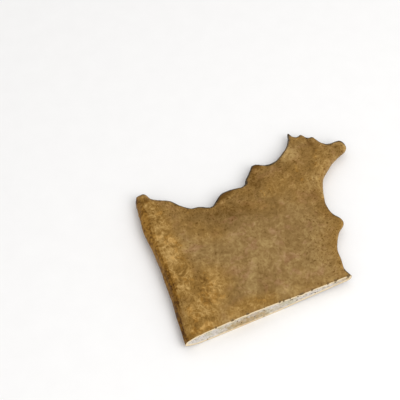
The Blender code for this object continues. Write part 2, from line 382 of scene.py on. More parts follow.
# Below zero on the furrowed side, and above it on the palm.
shoulder_gap = place[:, 0] - np.interp(place[:, 1], SHOULDER_Y, SHOULDER_X)
furrowed = np.clip(0.5 - shoulder_gap / FURROWS_FADE_OVER, 0.0, 1.0)
gnawed = np.clip(1.0 - edge_gap / GNAWED_REACH, 0.0, 1.0) * (place[:, 1] > GNAWED_FROM)
grooves = noise_over(growth / (GROOVE_ACROSS, GROOVE_ALONG, GROOVE_UP))
pebbles = noise_over(points / MM / PEBBLE_SIZE)
fine_pebbles = noise_over(points / MM / FINE_PEBBLE_SIZE + OTHER_PLACE)
furrows = noise_over(growth / (FURROW_ACROSS, FURROW_ALONG, FURROW_ACROSS) + OTHER_PLACE)
tooth_marks = np.abs(noise_over(points / MM / GNAWED_SIZE))
relief = (
    -GROOVE_DEPTH * np.clip(-grooves * GROOVE_STEEPNESS, 0.0, 1.0)
    + PEBBLE_HEIGHT * pebbles
    + FINE_PEBBLE_HEIGHT * fine_pebbles
    + FURROW_DEPTH * furrowed * furrows
    - GNAWED_DEPTH * gnawed * tooth_marks
)
print("relief from", round(relief.min(), 3), "to", round(relief.max(), 3), "mm")

# %% [markdown]
# ## Vessel holes
# The holes are the size of a pin's head. They are scattered by a seeded draw over the vertices, so
# they come out the same each time, and each one pulls the skin around it inwards as a small round dip.

# %% Sink the vessel holes
SEED = 7
HOLE_COUNT = 150
# The smallest and the largest, in millimetres.
HOLE_RADIUS = (0.5, 0.9)
HOLE_DEPTH = (0.08, 0.26)

draw = random.Random(SEED)
skin_tree = kdtree.KDTree(len(bone.verts))
for vertex in bone.verts:
    skin_tree.insert(vertex.co, vertex.index)
skin_tree.balance()
holes = np.zeros(len(bone.verts))
for _ in range(HOLE_COUNT):
    centre = bone.verts[draw.randrange(len(bone.verts))]
    radius = draw.uniform(*HOLE_RADIUS)
    depth = draw.uniform(*HOLE_DEPTH)
    for _, index, gap in skin_tree.find_range(centre.co, radius * MM):
        holes[index] = max(holes[index], depth * (1.0 - (gap / MM / radius) ** 2))
relief -= holes
print("vessel holes reach", int((holes > 0).sum()), "vertices")

# %% [markdown]
# ## Nicks along the saw's edge
# The saw tore small chips out of the edge on its way out. Each nick is a dip in the upper rim, given
# by its place along the cut, its half width and its depth, in millimetres. It runs a little way in from
# the cut, and only where the skin faces up.

# %% Tear the nicks
NICKS = (
    (20.6, 0.7, 0.4), (31.7, 1.1, 0.7), (42.0, 1.3, 0.9), (53.3, 0.6, 0.3),
    (64.0, 1.0, 0.8), (66.7, 0.9, 0.7), (71.2, 0.6, 0.3), (79.3, 2.2, 0.9),
    (86.6, 0.9, 0.5), (97.9, 0.8, 0.5), (103.4, 1.5, 1.0), (112.5, 1.7, 1.3),
)
NICK_RUN = 1.2
NICKS_FADE_BELOW = 0.5

nick_depth = np.zeros(len(bone.verts))
faces_up = np.clip(normals[:, 2] / NICKS_FADE_BELOW, 0.0, 1.0)
for nick_x, half_width, depth in NICKS:
    gap = np.hypot((place[:, 0] - nick_x) / half_width, place[:, 1] / NICK_RUN)
    nick_depth = np.maximum(nick_depth, depth * np.clip(1.0 - gap**2, 0.0, 1.0) * faces_up)
print("nicks reach", int((nick_depth > 0.0).sum()), "vertices")

# %% [markdown]
# ## The skin in its new shape
# Each point moves along its own normal by the relief there, and straight down by the depth of a nick.
# The rim stays in the plane of the saw, and no point leaves the box of the solid, so the size stays true.

# %% Move the skin
moved = points + normals * (relief * MM)[:, None]
moved[:, 2] -= nick_depth * MM
on_rim = np.array([vertex.is_boundary for vertex in bone.verts])
moved[on_rim, 1] = cut_y
moved = np.clip(moved, solid_low, solid_high)
for vertex, position in zip(bone.verts, moved):
    vertex.co = position
bone.normal_update()
print("skin moved by up to", round(np.linalg.norm(moved - points, axis=1).max() / MM, 2), "mm")

# %% [markdown]
# ## How shut in each point is
# The bone is made darker in the dips of its skin. To know where they are, a copy of the skin's points
# is smoothed many times. A point that lies below the smoothed copy is in a dip, and one above it is on a
# rise.

# %% Measure dips and rises
SMOOTHINGS = 14

ends = np.array([[vertex.index for vertex in edge.verts] for edge in bone.edges])
neighbours = np.bincount(ends.ravel(), minlength=len(moved)).astype(float)


def smoothed(values, rounds):
    """Average each point's value with its neighbours', over and over."""
    for _ in range(rounds):
        total = np.stack(
            [
                np.bincount(ends[:, 0], values[ends[:, 1], axis], len(values))
                + np.bincount(ends[:, 1], values[ends[:, 0], axis], len(values))
                for axis in range(values.shape[1])
            ],
            axis=1,
        )
        values = (values + total / neighbours[:, None]) / 2.0
    return values


new_normals = np.array([vertex.normal for vertex in bone.verts])
rise = ((moved - smoothed(moved, SMOOTHINGS)) * new_normals).sum(axis=1) / MM
print("rise above the smoothed skin:", np.percentile(rise, (1, 50, 99)).round(3), "mm")

# %% [markdown]
# ## The slow tone, with painted light and shade
# The bone took its colour from rubbing on trees and from the ground, so its tone changes slowly over
# the palm, and the same strokes also carry painted light and shade. It could be painted by hand on the
# vertices, but strokes in a list are easier to move. Each light or dark drift is a soft stroke: where it
# starts and ends and how wide it is, in millimetres, and how much lighter or darker it makes the bone.

# %% Paint the slow tone, with its painted light and shade
TONE_AND_LIGHT_STROKES = (
    ((20.0, 78.0), (17.0, 56.0), 4.0, 0.30),
    ((27.0, 58.0), (16.0, 55.0), 5.0, 0.40),
    ((18.5, 98.0), (18.0, 87.0), 3.0, -0.40),
    ((14.0, 100.0), (8.0, 58.0), 5.0, 0.50),
    ((33.6, 87.0), (34.0, 84.0), 4.0, 0.25),
    ((40.0, 80.0), (48.0, 75.0), 8.0, -0.40),
    ((34.0, 88.0), (62.0, 80.0), 6.0, -0.35),
    ((63.0, 76.0), (65.0, 72.0), 6.5, -0.45),
    ((64.0, 70.5), (52.0, 64.0), 6.5, -0.28),
    ((60.0, 53.0), (61.0, 48.0), 5.5, 0.30),
    ((77.0, 66.0), (92.0, 64.0), 6.5, -0.35),
    ((109.0, 67.0), (112.0, 63.0), 4.5, -0.30),
    ((90.0, 88.0), (77.0, 74.0), 6.0, -0.55),
    ((72.0, 87.0), (75.0, 85.0), 4.0, -0.45),
    ((93.0, 95.0), (97.0, 86.0), 7.0, -0.40),
    ((100.0, 68.0), (101.0, 63.0), 4.0, 0.20),
    ((110.0, 92.0), (117.0, 87.0), 5.0, -0.25),
    ((117.5, 102.0), (117.5, 98.0), 4.0, 0.55),
    ((122.5, 105.0), (123.5, 97.0), 3.5, 0.95),
    ((128.0, 104.0), (140.0, 97.0), 7.0, -0.25),
    ((149.0, 87.0), (143.0, 92.0), 4.5, 0.20),
    ((122.0, 62.0), (126.0, 56.0), 4.0, -0.45),
    ((119.0, 78.0), (132.0, 83.0), 4.0, -0.35),
    ((126.0, 44.0), (121.0, 50.0), 4.0, -0.55),
    ((117.5, 25.0), (117.0, 19.0), 3.0, -0.40),
    ((97.0, 49.0), (97.0, 44.0), 5.0, -0.20),
    ((74.0, 43.0), (79.0, 42.0), 4.0, 0.40),
    ((80.0, 28.0), (68.0, 29.0), 5.0, 0.30),
    ((104.0, 22.0), (103.0, 17.0), 4.5, 0.25),
    ((58.0, 39.0), (58.0, 36.0), 4.0, -0.25),
    ((62.0, 34.0), (53.0, 15.0), 2.6, 0.40),
    ((43.0, 42.0), (46.0, 39.0), 4.5, 0.25),
    ((33.0, 38.0), (33.5, 35.0), 4.5, 0.40),
    ((26.5, 36.0), (21.0, 31.5), 5.0, -0.48),
    ((22.0, 53.0), (20.0, 46.0), 4.0, -0.30),
    ((31.0, 27.0), (31.0, 16.0), 4.0, 0.50),
    ((38.0, 32.0), (39.0, 24.0), 4.0, 0.15),
    ((38.0, 15.0), (41.0, 12.0), 4.5, -0.30),
    ((28.0, 2.0), (35.0, 3.0), 3.5, 0.50),
    ((66.0, 24.0), (62.0, 14.0), 5.0, -0.25),
    ((92.0, 43.0), (84.0, 24.0), 3.5, -0.20),
    ((81.0, 16.0), (84.0, 13.0), 4.0, 0.25),
    ((98.0, 9.0), (103.0, 9.0), 4.5, 0.20),
    ((66.0, 6.0), (76.0, 3.0), 4.0, 0.35),
    ((11.3, 28.0), (12.0, 26.0), 3.0, -0.30),
    ((12.6, 43.0), (12.5, 40.0), 2.5, -0.35),
    ((7.3, 14.0), (15.4, 17.5), 3.0, 0.40),
    ((8.5, 9.0), (6.5, 3.0), 3.0, -0.40),
    ((23.0, 19.0), (22.6, 15.5), 3.0, -0.32),
    ((12.0, 4.5), (20.0, 4.0), 2.5, 0.30),
    ((26.0, 12.0), (28.0, 9.0), 4.0, 0.15),
    # Of the next four strokes, the three dark ones lie at the far edge and are painted shade where the rim
    # turns away. So is the last stroke of the list.
    ((62.0, 86.2), (73.0, 90.0), 2.0, -1.60),
    ((63.0, 82.4), (74.0, 85.6), 1.0, 0.55),
    ((94.0, 101.6), (98.8, 100.6), 2.3, -1.90),
    ((15.5, 105.5), (19.0, 103.5), 2.4, -0.90),
    ((16.0, 88.0), (15.2, 83.0), 2.0, -0.50),
    ((17.0, 85.0), (25.0, 81.5), 2.6, -0.40),
    ((11.0, 101.0), (12.0, 92.0), 3.5, 0.20),
    ((139.0, 95.5), (137.0, 93.0), 1.1, -0.60),
    # The pale strokes from here along the rim of the tine's neck are painted highlights.
    ((126.4, 60.0), (129.0, 74.6), 1.2, 0.60),
    ((129.0, 74.6), (141.6, 84.4), 1.2, 0.50),
    ((128.5, 60.5), (135.3, 74.4), 1.0, 0.45),
    ((135.3, 74.4), (143.6, 81.0), 1.0, 0.50),
    ((143.6, 81.0), (153.0, 86.3), 1.0, 0.30),
    ((124.8, 67.0), (126.6, 76.0), 0.7, 0.50),
    ((126.6, 76.0), (138.5, 86.6), 0.7, 0.50),
    ((122.0, 72.0), (124.5, 80.0), 0.7, 0.40),
    # The tine's round end: a dark crescent of painted shade, then pale strokes on its top and right rim,
    # which are painted highlights.
    ((153.2, 91.2), (153.2, 87.6), 2.4, -0.55),
    ((153.4, 94.6), (157.2, 93.8), 1.2, 0.40),
    ((159.6, 92.4), (159.6, 88.2), 1.3, 0.80),
    ((138.6, 103.0), (139.0, 100.4), 1.6, -0.90),
)


def stroke_share(start, end, width):
    """How strongly each point is covered by a soft stroke, from 0 to 1."""
    start, end = np.array(start), np.array(end)
    run = end - start
    share = np.clip(((place - start) @ run) / (run @ run), 0.0, 1.0)
    gap = np.linalg.norm(place - (start + share[:, None] * run), axis=1)
    return np.exp(-((gap / width) ** 2))


tone_and_painted_light = sum(strength * stroke_share(*stroke) for *stroke, strength in TONE_AND_LIGHT_STROKES)
print(len(TONE_AND_LIGHT_STROKES), "drifts, from", round(tone_and_painted_light.min(), 2), "to", round(tone_and_painted_light.max(), 2))

# %% [markdown]
# ## Painted shade in the crease, and a painted highlight on the shoulder
# The crease beside the furrowed side is darkened with painted shade, and the shoulder above it is made
# pale with a painted highlight. Both follow the shoulder's line, so each is a soft band at its own distance
# from that line: the crease just outside it and the pale band just inside. Where the skin turns under, all
# these drifts fade out.

# %% Paint shade into the crease and a highlight onto the shoulder
# Distances and widths are in millimetres. The two places say how far from the cut the crease starts to
# fade and where it has done so, and the two shares how much of it there is before and after.
CREASE_SHADE = -0.7
CREASE_MIDDLE = -1.6
CREASE_WIDTH = 1.4
CREASE_FADES = (42.0, 64.0)
CREASE_SHARES = (1.0, 0.25)
SHOULDER_HIGHLIGHT = 0.3
SHOULDER_MIDDLE = 2.4
SHOULDER_WIDTH = 2.0
# How far from the cut the pale band starts and ends.
SHOULDER_RUN = (30.0, 92.0)
# How far down the skin's normal points, from 0 to 1, where the drifts are gone.
DRIFTS_FADE_BELOW = 0.33


def soft_band(values, middle, width):
    """How strongly each value lies in a soft band, from 0 to 1."""
    return np.exp(-(((values - middle) / width) ** 2))


crease_share = np.interp(place[:, 1], CREASE_FADES, CREASE_SHARES)
# Painted shade in the crease.
tone_and_painted_light += CREASE_SHADE * crease_share * soft_band(shoulder_gap, CREASE_MIDDLE, CREASE_WIDTH)
lit = (place[:, 1] > SHOULDER_RUN[0]) & (place[:, 1] < SHOULDER_RUN[1])
# A painted highlight on the shoulder.
tone_and_painted_light += SHOULDER_HIGHLIGHT * lit * soft_band(shoulder_gap, SHOULDER_MIDDLE, SHOULDER_WIDTH)
tone_and_painted_light *= np.clip(1.0 + normals[:, 2] / DRIFTS_FADE_BELOW, 0.0, 1.0)
print("with crease and shoulder, from", round(tone_and_painted_light.min(), 2), "to", round(tone_and_painted_light.max(), 2))

# %% [markdown]
# ## Weathering: the wax
# Wax from handling turned the bone golden near its rim and its cut, on the shoulder and at the root of
# the tine. Its strokes are given as the drifts are, with how waxed the bone is in the middle of each.
# Drifts add up, but bone can't be waxed twice, so where strokes overlap only the strongest counts.

# %% Wax the bone
WAXED_STROKES = (
    ((10.0, 4.0), (32.0, 30.0), 15.0, 1.0),
    ((34.0, 5.0), (60.0, 4.0), 8.0, 0.75),
    ((16.0, 100.0), (15.0, 34.0), 13.0, 1.0),
    ((104.0, 80.0), (140.0, 90.0), 20.0, 0.65),
    ((30.0, 76.0), (50.0, 64.0), 12.0, 0.50),
    ((30.0, 92.0), (96.0, 66.0), 10.0, 0.45),
)
# How waxed the bone is at its rim and at the cut, and how far in from each that goes, in millimetres.
WAXED_AT_RIM = 0.6
WAXED_AT_CUT = 0.35
WAX_REACH = 24.0

waxed = [strength * stroke_share(*stroke) for *stroke, strength in WAXED_STROKES]
waxed.append(WAXED_AT_RIM * (1.0 - edge_gap / WAX_REACH))
waxed.append(WAXED_AT_CUT * (1.0 - place[:, 1] / WAX_REACH))
waxed = np.maximum.reduce(waxed)
print("waxed on average", round(waxed.mean(), 2))

# %% [markdown]
# ## Painted shade at the rim
# Where the rim faces away, on the gnawed far edge and along the thin edge, its wall is painted dark
# brown as painted shade. The furrowed side and the edges that face the cut get none of it, which a width
# below zero says. What is kept is the distance to the end of this painted shade, in millimetres: below
# zero inside it.

# %% Measure the rim's painted shade
# How wide the painted shade is where the rim faces right, away from the cut, and left in the bays.
PAINTED_SHADE_AT_THIN_EDGE = 1.0
PAINTED_SHADE_AT_FAR_EDGE = 2.4
PAINTED_SHADE_IN_BAYS = 0.15

painted_shade_side = (rim_normals[:, 0] > 0.0) | (furrowed > 0.0)
painted_shade_at_side = np.where(painted_shade_side, PAINTED_SHADE_AT_THIN_EDGE, -PAINTED_SHADE_IN_BAYS)
painted_shade_width = PAINTED_SHADE_AT_FAR_EDGE * rim_normals[:, 1] + painted_shade_at_side * rim_normals[:, 0]
painted_shade_gap = edge_gap - painted_shade_width
print("stain covers", int((painted_shade_gap < 0.0).sum()), "vertices")

# %% [markdown]
# ## What each vertex remembers
# The finishes need to know more than a place: how light the slow tone and its painted light and shade
# are there, whether it is a dip, how far away the rim is. Each of these is kept on the vertices under a
# name that a material can read, and a vertex that a later cut makes gets its values from the two beside
# it. The last two belong to the sawn face: they start at nothing and are filled in once that face is there.

# %% Keep the measures on the vertices
# How deep a nick is where its dirt is full, in millimetres.
TORN_THROUGH = 0.33

remembered = {
    "tone_and_painted_light": tone_and_painted_light,
    "waxed": waxed,
    "rise": rise,
    "rim_gap": edge_gap,
    "painted_shade_gap": painted_shade_gap,
    "shoulder_gap": shoulder_gap,
    "torn": np.clip(nick_depth / TORN_THROUGH, 0.0, 1.0),
    "rind_gap": np.zeros(len(moved)),
    "soaked": np.zeros(len(moved)),
}
for name, values in remembered.items():
    layer = bone.verts.layers.float.new(name)
    for vertex, value in zip(bone.verts, values):
        vertex[layer] = float(value)
growth_layer = bone.verts.layers.float_vector.new("growth")
for vertex, lines in zip(bone.verts, growth):
    vertex[growth_layer] = lines
print("remembered:", ", ".join(remembered), "and growth")

# %% [markdown]
# ## The sawn face
# The saw left one flat face across the bone. It is closed with a single face first, which is then cut
# into a fine grid by planes, so that the pores of the spongy core can be sunk into it. Cutting planes
# keep the saw's edge exactly as it is, which a grid laid over the hole would not.

# %% Close the sawn end and cut it into a fine grid
# The width of a square of the grid, in millimetres.
GRID_STEP = 0.42
CUT_SLACK = 0.0001 * MM
# The skin takes the first material of the mesh, at 0, and the sawn face the second.
SAWN_SLOT = 1

rim = [edge for edge in bone.edges if edge.is_boundary]
rim_ends = np.array([[vertex.co for vertex in edge.verts] for edge in rim])[:, :, (0, 2)]
patch = bmesh.ops.contextual_create(bone, geom=rim)["faces"]
for face in patch:
    face.material_index = SAWN_SLOT


def cut_patch(geometry, normal, positions):
    """Cut the sawn face by parallel planes and return all its pieces."""
    for position in positions:
        cut = bmesh.ops.bisect_plane(
            bone,
            geom=geometry,
            dist=CUT_SLACK,
            plane_co=Vector(normal) * position,
            plane_no=normal,
        )
        geometry = cut["geom"]
    return geometry


patch_geometry = patch + list({edge for face in patch for edge in face.edges})
patch_geometry += list({vertex for face in patch for vertex in face.verts})
low_rim, high_rim = rim_ends.min(axis=(0, 1)), rim_ends.max(axis=(0, 1))
step = GRID_STEP * MM
across_face = np.arange(low_rim[0] + step, high_rim[0], step)
up_face = np.arange(low_rim[1] + step, high_rim[1], step)
patch_geometry = cut_patch(patch_geometry, (1.0, 0.0, 0.0), across_face)
patch_geometry = cut_patch(patch_geometry, (0.0, 0.0, 1.0), up_face)
print("sawn face:", sum(isinstance(piece, bmesh.types.BMFace) for piece in patch_geometry), "faces")

# %% [markdown]
# ## How far in from its outline the sawn face is
# Antler is a rind of dense bone around a spongy core, so the pores, the saw marks and the colours of the
# sawn face all depend on how far in from its outline a spot lies. That is the distance to the nearest
# edge of the rim. The nearest vertex would be quicker to find, but its distance comes out scalloped.

# %% Measure the distance to the outline
face_verts = [
    vertex
    for vertex in bone.verts
    if all(face.material_index == SAWN_SLOT for face in vertex.link_faces)
]
spots = np.array([vertex.co for vertex in face_verts])[:, (0, 2)]
rim_start = rim_ends[:, 0][None]
rim_run = rim_ends[:, 1][None] - rim_start
gap = spots[:, None] - rim_start
share = np.clip((gap * rim_run).sum(2) / (rim_run * rim_run).sum(2), 0.0, 1.0)
rind_gap = np.linalg.norm(gap - share[:, :, None] * rim_run, axis=2).min(axis=1) / MM
# From here on a spot is its place along the cut and its height above the table, in millimetres.
spots = (spots - (solid_low.x, 0.0)) / MM
print("sawn face:", len(spots), "spots, up to", round(rind_gap.max(), 1), "mm in from its outline")

# %% [markdown]
# ## Pores
# The saw opened the pores of the spongy core. They are scattered over the core by the same seeded draw
# as the vessel holes, they crowd where it is thickest, and they fade out towards the rind.

# %% Sink the pores
PORE_COUNT = 800
# The smallest and the largest, in millimetres.
PORE_RADIUS = (0.3, 0.65)
PORE_DEPTH = (0.08, 0.32)
# How far in from the outline the core starts, and where the pores start to get deeper.
RIND = 1.3
PORES_FROM = 0.91

pore_depth = np.zeros(len(spots))
core = np.flatnonzero(rind_gap > RIND)
for _ in range(PORE_COUNT):
    centre = draw.choice(core)
    radius = draw.uniform(*PORE_RADIUS)
    depth = draw.uniform(*PORE_DEPTH)
    gap = np.linalg.norm(spots - spots[centre], axis=1)
    pore_depth = np.maximum(pore_depth, depth * np.clip(1.0 - (gap / radius) ** 2, 0.0, 1.0))
pore_depth *= np.clip((rind_gap - PORES_FROM) / RIND, 0.0, 1.0)
print("pores reach", int((pore_depth > 0.0).sum()), "spots")

# %% [markdown]
# ## Chips and saw marks
# A few larger chips fell out of the face where a nick starts or a vessel ran. The saw's teeth left faint
# marks that lean a little, which are a noise stretched along them.

# %% Break out the chips and draw the saw marks
# Sizes and depths are in millimetres, and the lean is how many mark steps a millimetre up is worth.
SAW_MARK_STEP = 1.1
SAW_MARK_LEAN = 0.35
SAW_MARK_LENGTH = 9.0
SAW_MARK_DEPTH = 0.08
SAW_MARKS_FROM = 0.4
# The noise has three directions, and the face is a slice through it at this place of the third.
SAW_MARK_SLICE = 3.0
CHIP_HEIGHT = 0.8
CHIP_DEPTH = 0.5
# How far out a chip reaches, as a share of its half width and height: it is full up to 1 less.
CHIP_REACH = 1.3
# A chip's place along the cut, its height above the table, and its half width, in millimetres.
CHIPS = (
    (20.6, 10.8, 0.6), (31.7, 11.6, 1.1), (42.0, 12.2, 1.0), (53.3, 8.3, 0.4), (53.6, 0.6, 0.6),
    (15.0, 1.4, 0.5), (64.0, 10.6, 1.0), (66.7, 9.4, 0.9), (71.2, 9.5, 0.5), (72.3, 7.5, 1.3),
    (76.6, 8.2, 0.9), (76.5, 4.2, 0.8), (79.3, 9.4, 1.8), (86.6, 8.4, 0.8), (86.5, 4.8, 0.4),
    (89.2, 4.1, 0.6), (97.9, 8.0, 0.6), (103.4, 6.7, 1.3), (112.4, 6.4, 1.5), (38.0, 4.5, 0.5),
    (41.5, 8.0, 0.4), (47.0, 5.5, 0.5), (35.0, 8.5, 0.4),
)

torn = np.zeros(len(spots))
for chip_x, chip_z, half_width in CHIPS:
    gap = np.hypot((spots[:, 0] - chip_x) / half_width, (spots[:, 1] - chip_z) / CHIP_HEIGHT)
    torn = np.maximum(torn, np.clip(CHIP_REACH - gap, 0.0, 1.0))
marks = noise_over(
    [
        (x / SAW_MARK_STEP + z * SAW_MARK_LEAN, z / SAW_MARK_LENGTH, SAW_MARK_SLICE)
        for x, z in spots
    ]
)
marks = SAW_MARK_DEPTH * (0.5 + 0.5 * marks) * np.clip(rind_gap / SAW_MARKS_FROM, 0.0, 1.0)
print("chips reach", int((torn > 0.0).sum()), "spots; saw marks up to", round(marks.max(), 3), "mm deep")

# %% [markdown]
# ## Old marrow, and the face in its new shape
# Old marrow soaked a part of the core, most of it low down. That share is told along the cut and upwards.
# Then the pores, chips and saw marks sink the face. All of it goes inwards, so that the face never
# stands proud of the cut, and each vertex gets the measures that the finish of the sawn face reads.

# %% Soak the core and sink the sawn face
# How soaked the core is at places along the cut, in millimetres.
SOAKED_PLACES = (0.0, 15.0, 22.0, 30.0, 40.0, 50.0, 58.0, 66.0, 78.0, 90.0, 100.0, 112.0)
SOAKED_SHARES = (0.0, 0.08, 0.2, 0.7, 1.0, 0.8, 0.4, 0.28, 0.2, 0.12, 0.3, 0.75)
# How much of that is left at heights above the table, in millimetres.
SOAKED_HEIGHTS = (6.0, 12.0)
SOAKED_AT_HEIGHTS = (1.0, 0.3)

soaked = np.interp(spots[:, 0], SOAKED_PLACES, SOAKED_SHARES)
soaked *= np.interp(spots[:, 1], SOAKED_HEIGHTS, SOAKED_AT_HEIGHTS)
sunk = pore_depth + CHIP_DEPTH * torn + marks
for vertex, depth in zip(face_verts, sunk):
    vertex.co.y += depth * MM
sawn_measures = {"rise": -pore_depth, "soaked": soaked, "rind_gap": rind_gap, "torn": torn}
for name, values in sawn_measures.items():
    layer = bone.verts.layers.float[name]
    for vertex, value in zip(face_verts, values):
        vertex[layer] = value
print("sawn face sinks by up to", round(sunk.max(), 2), "mm")

# %% [markdown]
# ## One mesh
# Skin and sawn face share the vertices along the saw's edge, so the piece is one closed body. It is
# shaded smooth, apart from the saw's edge, which stays crisp.

# %% Turn the bone into an object
bmesh.ops.recalc_face_normals(bone, faces=bone.faces[:])
for face in bone.faces:
    face.smooth = True
for edge in bone.edges:
    kinds = {face.material_index for face in edge.link_faces}
    edge.smooth = len(kinds) == 1
open_edges = sum(not edge.is_manifold for edge in bone.edges)
mesh = bpy.data.meshes.new("antler")
bone.to_mesh(mesh)
bone.free()
antler = bpy.data.objects.new("antler", mesh)
bpy.context.scene.collection.objects.link(antler)
mesh.calc_loop_triangles()
print("antler:", len(mesh.loop_triangles), "triangles,", open_edges, "open edges")

# %% [markdown]
# ## The skin's finish: its noises
# Antler skin is weathered bone: brown from bark and earth, greyer where it is dry, golden where the
# wax of handling has soaked in. Nothing on it is a picture: its pattern is made of noises, each with
# the size of something on the real bone, in millimetres. They are all made in the same way, so loops
# make them, and half is taken off, so that each swings about zero. Two of them are folded over at zero,
# which leaves thin lines where they are smallest: the veins, and the strands along the growth.

# %% Make the noises of the skin
# What a noise swings about, as its node gives it out.
NOISE_MIDDLE = 0.5
# Name, size in mm, detail, distortion.
SKIN_NOISES = (
    ("patch", 16.0, 2.0, 0.0),
    ("mottle", 6.0, 2.0, 1.0),
    ("cloud", 3.2, 1.0, 0.8),
    ("fleck", 1.7, 1.0, 0.4),
    ("grain", 0.95, 2.0, 0.0),
    ("vein", 7.0, 1.5, 0.9),
    ("blush", 9.0, 2.0, 0.5),
)
# Name, size across and along the growth of the bone in mm, distortion.
GROWTH_NOISES = (("streak", 1.5, 14.0, 0.0), ("strand", 3.4, 9.0, 1.6))

skin, tree, shader = new_material("rubbed_antler_skin")
object_place = add(tree, "ShaderNodeTexCoord", {}, output="Object")
in_mm = add(tree, "ShaderNodeVectorMath", {0: object_place, "Scale": 1.0 / MM}, operation="SCALE")
fields = {}
for name, size, detail, distortion in SKIN_NOISES:
    settings = {"Vector": in_mm, "Scale": 1.0 / size, "Detail": detail, "Distortion": distortion}
    fields[name] = add(tree, "ShaderNodeTexNoise", settings)
along_growth = add(tree, "ShaderNodeAttribute", {}, output="Vector", attribute_name="growth")
for name, across, along, distortion in GROWTH_NOISES:
    stretch = {"Vector": along_growth, "Scale": (1.0 / across, 1.0 / along, 1.0 / across)}
    stretched = add(tree, "ShaderNodeMapping", stretch)
    settings = {"Vector": stretched, "Scale": 1.0, "Detail": NOISE_DETAIL, "Distortion": distortion}
    fields[name] = add(tree, "ShaderNodeTexNoise", settings)
for name, field in fields.items():
    fields[name] = add(tree, "ShaderNodeMath", {0: field, 1: NOISE_MIDDLE}, operation="SUBTRACT")
for name in ("tone_and_painted_light", "waxed", "rise", "rim_gap", "painted_shade_gap", "shoulder_gap", "torn"):
    fields[name] = add(tree, "ShaderNodeAttribute", {}, output="Fac", attribute_name=name)
for name in ("vein", "strand"):
    fields[name] = add(tree, "ShaderNodeMath", {0: fields[name]}, operation="ABSOLUTE")
print("skin reads", ", ".join(fields))

# %% [markdown]
# ## The skin's finish: where things are
# Many of its features are a soft step: none of it below one mark, all of it above another. A Map Range
# node does that. The wax wanders, and it has amber patches. Strands of bone show through only where it
# is waxed, the dips are darker, and the furrowed side ends at a ragged shoulder and is creased with
# dark lines. Towards the rim the bone is grainier, with dark specks where its pores open. Some steps run
# downwards, from a higher mark to a lower one, and then the feature is where the number is small.

# %% Mark the features of the skin
# Name, the numbers that it adds up with their shares, and where its step starts and ends.
SKIN_STEPS = (
    ("golden", (("waxed", 1.0), ("patch", 0.5), ("mottle", 0.3)), 0.06, 0.85),
    ("handled", (("waxed", 1.0), ("patch", 0.4)), 0.65, 1.0),
    ("amber", (("blush", -1.0), ("cloud", 0.8), ("golden", 0.5)), 0.5, 0.7),
    ("rosy", (("blush", 1.0), ("cloud", 0.4)), 0.0, 0.22),
    ("veined", (("vein", 1.0),), 0.055, 0.0),
    ("stranded", (("strand", 1.0), ("golden", -0.06)), 0.0, -0.06),
    ("pitted", (("fleck", 1.0), ("grain", 0.5)), -0.05, -0.22),
    # Darker where the skin lies below its smoothed copy, in the dips.
    ("darker_in_dips", (("rise", 1.0),), -0.02, -0.22),
    ("grainy", (("rim_gap", 1.0), ("handled", 40.0)), 36.0, 4.0),
    ("specked", (("grain", 1.0), ("fleck", 0.6), ("grainy", -0.12)), -0.22, -0.36),
    ("barky", (("shoulder_gap", 1.0), ("streak", 6.0), ("mottle", 4.0)), 1.2, -1.4),
    ("creased", (("cloud", 1.0), ("streak", 0.5), ("barky", -0.3)), -0.25, -0.42),
    # Where the rim's painted shade lies.
    ("painted_rim_shade", (("painted_shade_gap", 1.0), ("patch", 2.6), ("mottle", 2.0), ("fleck", 1.2)), 0.6, -1.0),
    ("worn", (("rim_gap", 1.0), ("patch", 6.0), ("fleck", 2.0)), 3.0, 1.0),
)

for name, parts, low, high in SKIN_STEPS:
    total = 0.0
    for part, part_share in parts:
        terms = {0: fields[part], 1: part_share, 2: total}
        total = add(tree, "ShaderNodeMath", terms, operation="MULTIPLY_ADD")
    limits = {"Value": total, "From Min": low, "From Max": high}
    fields[name] = add(tree, "ShaderNodeMapRange", limits, interpolation_type="SMOOTHSTEP")
rough = {0: fields["grain"], 1: fields["grainy"]}
fields["rough"] = add(tree, "ShaderNodeMath", rough, operation="MULTIPLY")
print("skin has", ", ".join(name for name, *_ in SKIN_STEPS), "places")

# %% [markdown]
# ## The skin's finish: how light it is
# One number says how light the bone is at a point, 0 for its darkest brown and 1 for its palest. It
# starts from two patterns, a quiet one for plain bone and a stronger one for much handled bone, mixed by
# how handled the bone is. The veins belong to both. The slow tone with its painted light and shade, the
# grain and the specks near the rim, the creases of the furrowed side, the darkening in the dips and the
# worn rim are added to it.

# %% Add up the lightness of the skin
# What each pattern adds up, and how strongly: first for plain bone, then for much handled bone.
PATTERNS = (
    (
        ("mottle", 0.5),
        ("cloud", 0.46),
        ("fleck", 0.16),
        ("streak", 0.2),
        ("veined", 0.1),
        ("pitted", -0.08),
    ),
    (
        ("mottle", 1.25),
        ("cloud", 0.85),
        ("fleck", 0.1),
        ("streak", 0.2),
        ("veined", 0.3),
        ("pitted", -0.08),
    ),
)
LIGHTNESS = (
    ("tone_and_painted_light", 0.4),
    ("patch", 0.15),
    ("rough", 0.45),
    ("specked", -0.3),
    ("stranded", 0.2),
    ("golden", -0.08),
    ("barky", 0.1),
    ("creased", -0.26),
    ("darker_in_dips", -0.3),
    ("worn", 0.06),
)
# How light the bone is where every noise is at its middle and nothing is added.
MIDDLE_TONE = 0.515

